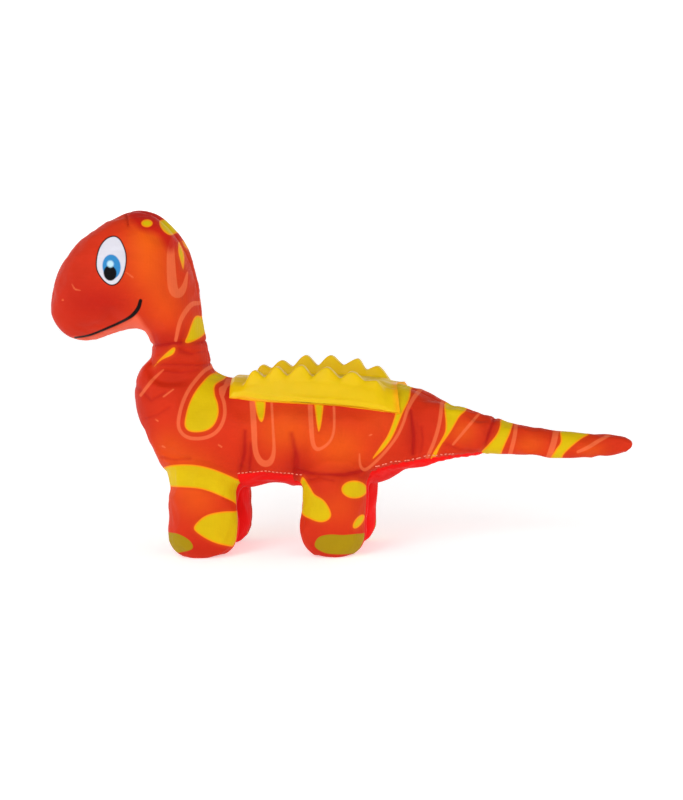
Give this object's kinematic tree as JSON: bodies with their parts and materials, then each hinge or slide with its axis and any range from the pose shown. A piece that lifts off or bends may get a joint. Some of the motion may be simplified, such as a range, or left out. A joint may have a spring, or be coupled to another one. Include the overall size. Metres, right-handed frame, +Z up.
{
  "type": "stuffed dinosaur toy",
  "caption": "Long-necked stuffed dinosaur of printed fabric with a plain red belly, a soft rubber back with two rows of spikes, four short legs, a long tail and a squeaker inside.",
  "frame": {"origin": "on the floor under the middle of the toy, half-way between the nose and the tip of the tail, on its middle plane", "axes": "-X towards the nose, +X towards the tail, -Y towards the toy's own left side, +Z up"},
  "size_m": [0.32, 0.0584, 0.1907],
  "materials": {
    "printed_fabric": "satin",
    "red_fabric": "satin",
    "back_rubber": "satin",
    "filling": "matte",
    "seam_thread": "satin",
    "squeaker_plastic": "satin"
  },
  "bodies": {
    "trunk": {"trunk_panel_left": "printed_fabric", "trunk_panel_right": "printed_fabric", "belly_gusset": "red_fabric", "trunk_filling": "filling", "back_saddle": "back_rubber", "belly_stitches_left": "seam_thread", "belly_stitches_right": "seam_thread", "squeaker_base": "squeaker_plastic", "squeaker_reed_tube": "squeaker_plastic", "squeaker_reed": "squeaker_plastic"},
    "head": {"head_panel_left": "printed_fabric", "head_panel_right": "printed_fabric", "head_filling": "filling"},
    "tail_base": {"tail_base_panel_left": "printed_fabric", "tail_base_panel_right": "printed_fabric", "tail_base_gusset": "red_fabric", "tail_base_filling": "filling"},
    "tail_tip": {"tail_tip_panel_left": "printed_fabric", "tail_tip_panel_right": "printed_fabric", "tail_tip_filling": "filling"},
    "squeaker_bulb": {"squeaker_bulb": "squeaker_plastic"},
    "front_leg_left": {"front_leg_left_outer_panel": "printed_fabric", "front_leg_left_inner_panel": "red_fabric", "front_leg_left_filling": "filling"},
    "front_leg_right": {"front_leg_right_outer_panel": "printed_fabric", "front_leg_right_inner_panel": "red_fabric", "front_leg_right_filling": "filling"},
    "hind_leg_left": {"hind_leg_left_outer_panel": "printed_fabric", "hind_leg_left_inner_panel": "red_fabric", "hind_leg_left_filling": "filling"},
    "hind_leg_right": {"hind_leg_right_outer_panel": "printed_fabric", "hind_leg_right_inner_panel": "red_fabric", "hind_leg_right_filling": "filling"}
  },
  "joints": [
    {"name": "neck_nod", "type": "hinge", "parent": "trunk", "child": "head", "pos_m": [-0.0875, 0, 0.113], "axis": [0, 1, 0], "range_deg": [-15, 12], "stiffness_Nm_per_rad": 1.2},
    {"name": "tail_sway", "type": "hinge", "parent": "trunk", "child": "tail_base", "pos_m": [0.056, 0, 0.066], "axis": [0, 0, 1], "range_deg": [-22, 22], "stiffness_Nm_per_rad": 0.6},
    {"name": "tail_tip_sway", "type": "hinge", "parent": "tail_base", "child": "tail_tip", "pos_m": [0.088, 0, 0.062], "axis": [0, 0, 1], "range_deg": [-30, 30], "stiffness_Nm_per_rad": 0.25},
    {"name": "squeaker_press", "type": "slide", "parent": "trunk", "child": "squeaker_bulb", "axis": [0, 1, 0], "range_m": [0, 0.004], "stiffness_N_per_m": 900},
    {"name": "front_leg_left_swing", "type": "hinge", "parent": "trunk", "child": "front_leg_left", "pos_m": [-0.0754, -0.0155, 0.033], "axis": [0, 1, 0], "range_deg": [-12, 12], "stiffness_Nm_per_rad": 2},
    {"name": "front_leg_right_swing", "type": "hinge", "parent": "trunk", "child": "front_leg_right", "pos_m": [-0.0754, 0.0155, 0.033], "axis": [0, 1, 0], "range_deg": [-12, 12], "stiffness_Nm_per_rad": 2},
    {"name": "hind_leg_left_swing", "type": "hinge", "parent": "trunk", "child": "hind_leg_left", "pos_m": [-0.0006, -0.0155, 0.033], "axis": [0, 1, 0], "range_deg": [-12, 12], "stiffness_Nm_per_rad": 2},
    {"name": "hind_leg_right_swing", "type": "hinge", "parent": "trunk", "child": "hind_leg_right", "pos_m": [-0.0006, 0.0155, 0.033], "axis": [0, 1, 0], "range_deg": [-12, 12], "stiffness_Nm_per_rad": 2}
  ]
}
